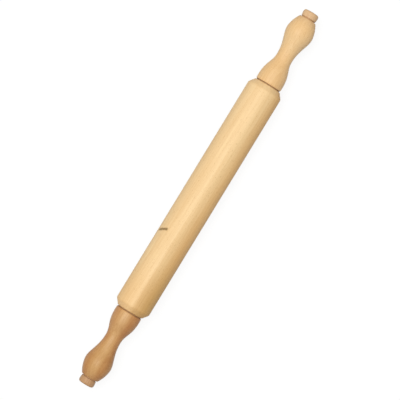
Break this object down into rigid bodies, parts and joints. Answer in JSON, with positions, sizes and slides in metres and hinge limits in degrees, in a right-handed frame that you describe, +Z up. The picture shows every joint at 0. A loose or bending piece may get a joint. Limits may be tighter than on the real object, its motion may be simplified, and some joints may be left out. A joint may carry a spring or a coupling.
{
  "type": "rolling pin",
  "caption": "Turned wooden rolling pin: a chamfered barrel and waisted handles with end buttons turn freely on a steel axle in nylon bushes.",
  "frame": {"origin": "middle of the barrel, on the axle's centre line", "axes": "+X along the axle towards the paler handle, +Z up, -Z side of the barrel rests on the table"},
  "size_m": [0.4656, 0.0398, 0.0398],
  "materials": {
    "barrel_wood": "satin",
    "right_handle_wood": "satin",
    "left_handle_wood": "satin",
    "steel": "satin",
    "nylon": "matte",
    "fibre": "matte"
  },
  "bodies": {
    "barrel": {"barrel": "barrel_wood", "left_barrel_bush": "nylon", "right_barrel_bush": "nylon"},
    "axle": {"axle_rod": "steel", "left_thrust_washer": "fibre", "left_end_washer": "steel", "left_lock_nut": "steel", "left_nut_ring": "nylon", "right_thrust_washer": "fibre", "right_end_washer": "steel", "right_lock_nut": "steel", "right_nut_ring": "nylon"},
    "left_handle": {"left_handle": "left_handle_wood", "left_end_button": "left_handle_wood"},
    "right_handle": {"right_handle": "right_handle_wood", "right_end_button": "right_handle_wood"}
  },
  "joints": [
    {"name": "axle_spin", "type": "hinge", "parent": "barrel", "child": "axle", "pos_m": [0, 0, 0], "axis": [1, 0, 0], "continuous": true},
    {"name": "left_handle_spin", "type": "hinge", "parent": "axle", "child": "left_handle", "pos_m": [-0.1833, 0, 0], "axis": [1, 0, 0], "continuous": true},
    {"name": "right_handle_spin", "type": "hinge", "parent": "axle", "child": "right_handle", "pos_m": [0.1833, 0, 0], "axis": [1, 0, 0], "continuous": true}
  ]
}
